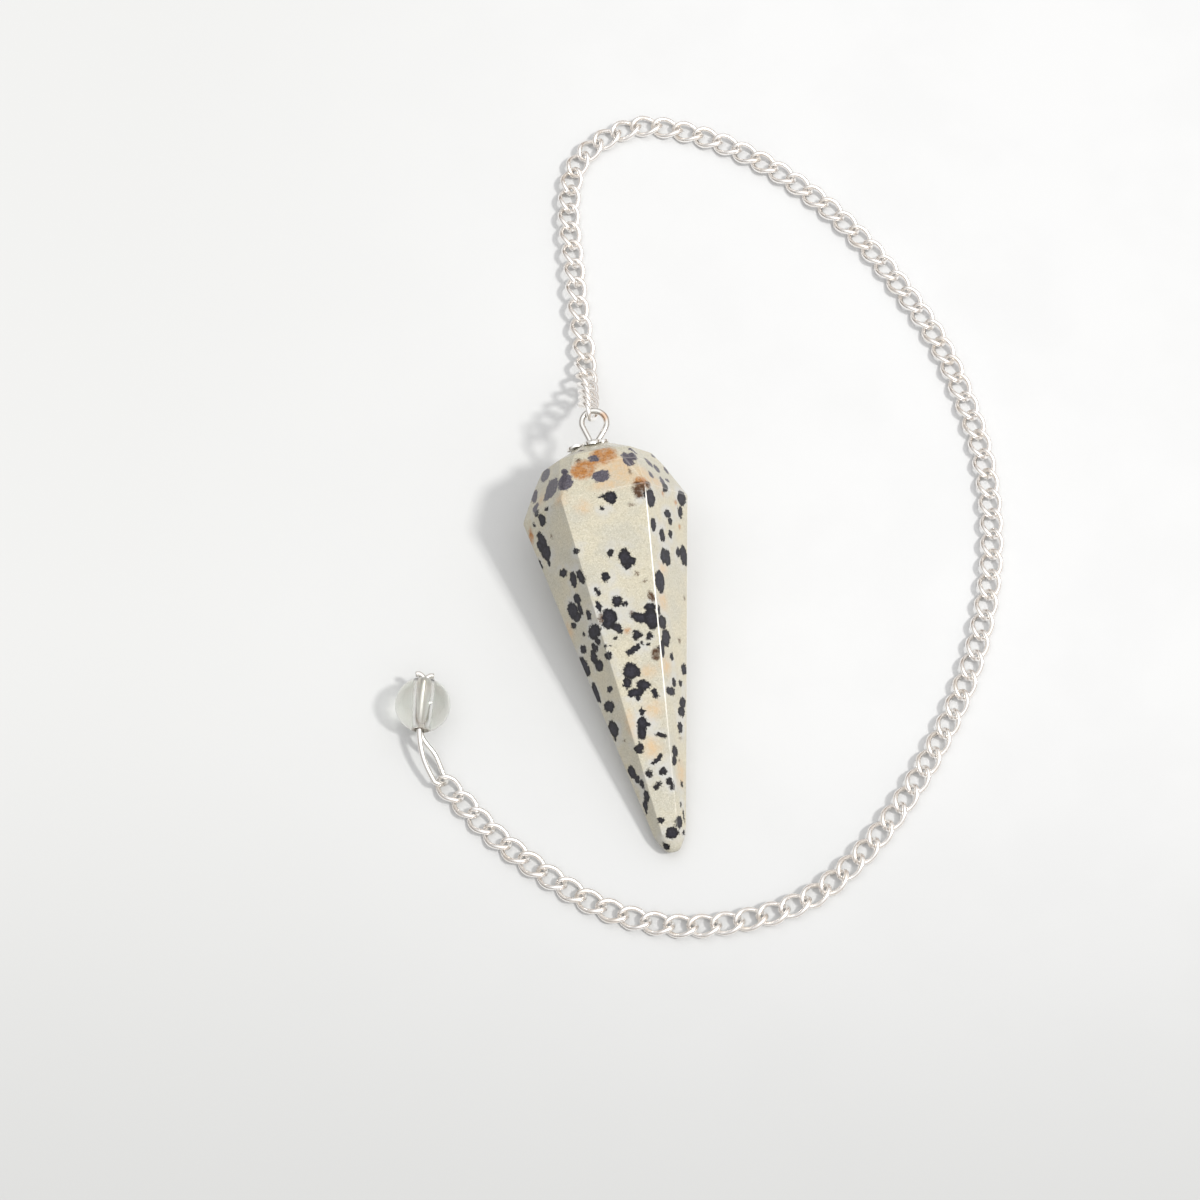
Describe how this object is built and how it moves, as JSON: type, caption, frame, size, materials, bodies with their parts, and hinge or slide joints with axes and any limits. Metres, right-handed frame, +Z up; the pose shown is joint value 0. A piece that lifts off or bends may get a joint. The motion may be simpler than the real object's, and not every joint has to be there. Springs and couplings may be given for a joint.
{
  "type": "pendulum pendant",
  "caption": "Six-sided tapered stone point lying on one facet, with a petal cap and open wire eye, a twisted curb chain and a clear bead on a wire loop.",
  "frame": {"origin": "on the surface the piece lies on, under the middle of the whole piece, chain included", "axes": "+Z up from the surface, +Y from the stone's tip end towards its crown end, +X to the right of a viewer who looks along +Y"},
  "size_m": [0.0669, 0.1012, 0.0159],
  "materials": {
    "jasper": "polished",
    "cap_metal": "polished",
    "pin_metal": "polished",
    "chain_metal": "polished",
    "clear_bead": "polished",
    "bead_wire_metal": "polished"
  },
  "bodies": {
    "root": {"faceted_stone": "jasper", "petal_cap": "cap_metal", "eye_pin": "pin_metal", "curb_chain": "chain_metal", "end_bead": "clear_bead", "bead_wire_loop": "bead_wire_metal"}
  },
  "joints": []
}
